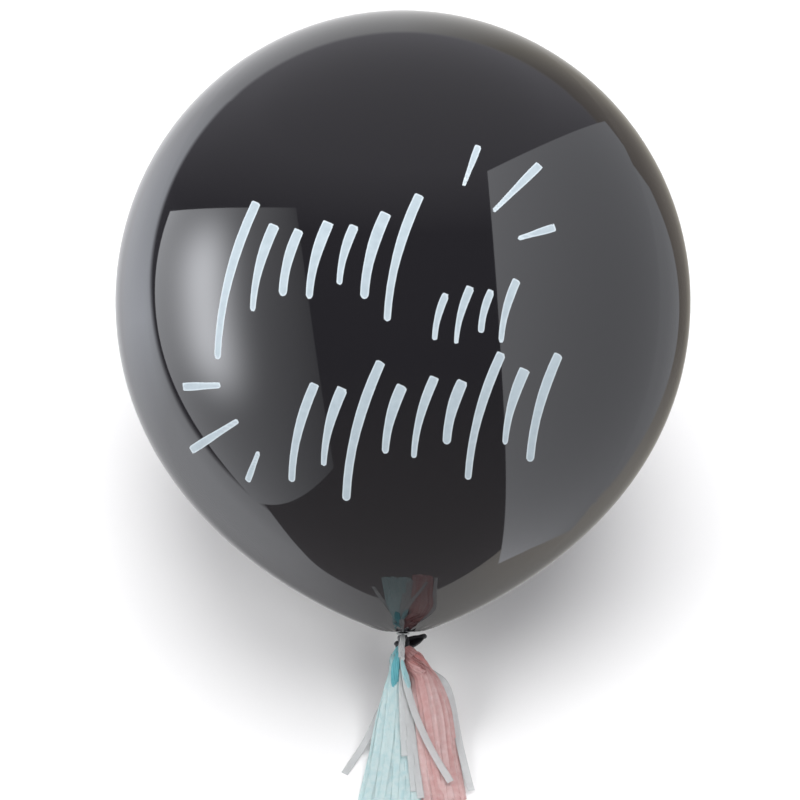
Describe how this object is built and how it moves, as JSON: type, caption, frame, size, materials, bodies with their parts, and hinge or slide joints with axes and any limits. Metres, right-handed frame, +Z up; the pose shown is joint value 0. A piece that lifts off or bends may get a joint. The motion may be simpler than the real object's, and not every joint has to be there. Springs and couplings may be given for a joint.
{
  "type": "gender reveal balloon",
  "caption": "Big round black latex balloon with a knotted neck and tissue paper tassels in pale blue, pink and white, lying on its side with its neck down in front.",
  "frame": {"origin": "middle of the small flat spot that the balloon rests on, at floor level", "axes": "+Z up, -Y to the front where the neck and the tassels lie, +X to the right seen from the front"},
  "size_m": [0.91, 1.1273, 0.9159],
  "materials": {
    "black_latex": "glossy stretched skin with pale painted strokes on the front",
    "blue_tissue": "matt tissue paper",
    "pink_tissue": "matt tissue paper",
    "white_tissue": "matt tissue paper"
  },
  "bodies": {
    "root": {"balloon": "black_latex", "blue_tassel": "blue_tissue", "pink_tassel": "pink_tissue", "white_tassel": "white_tissue"}
  },
  "joints": []
}
